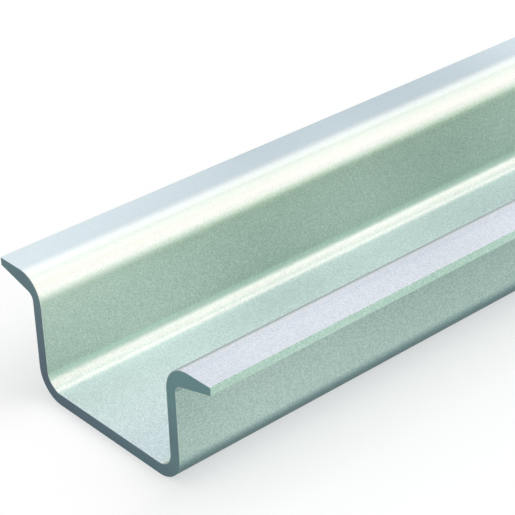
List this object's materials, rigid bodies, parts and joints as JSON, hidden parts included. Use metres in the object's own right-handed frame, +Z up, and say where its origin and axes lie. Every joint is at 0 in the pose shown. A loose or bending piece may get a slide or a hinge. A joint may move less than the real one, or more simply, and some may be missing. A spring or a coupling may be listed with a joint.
{
  "type": "din rail",
  "caption": "Top-hat mounting rail of zinc-plated steel strip, 35 x 15 mm, unpunched, for snapping switchgear and terminal blocks on.",
  "frame": {"origin": "middle of the base's underside, halfway along the rail", "axes": "+X across the rail, +Y along it, +Z up out of the open channel"},
  "size_m": [0.035, 0.5, 0.015],
  "materials": {
    "zinc_plated_steel": "bright zinc plating with a faint blue passivation, satin"
  },
  "bodies": {
    "root": {"rail": "zinc_plated_steel"}
  },
  "joints": []
}
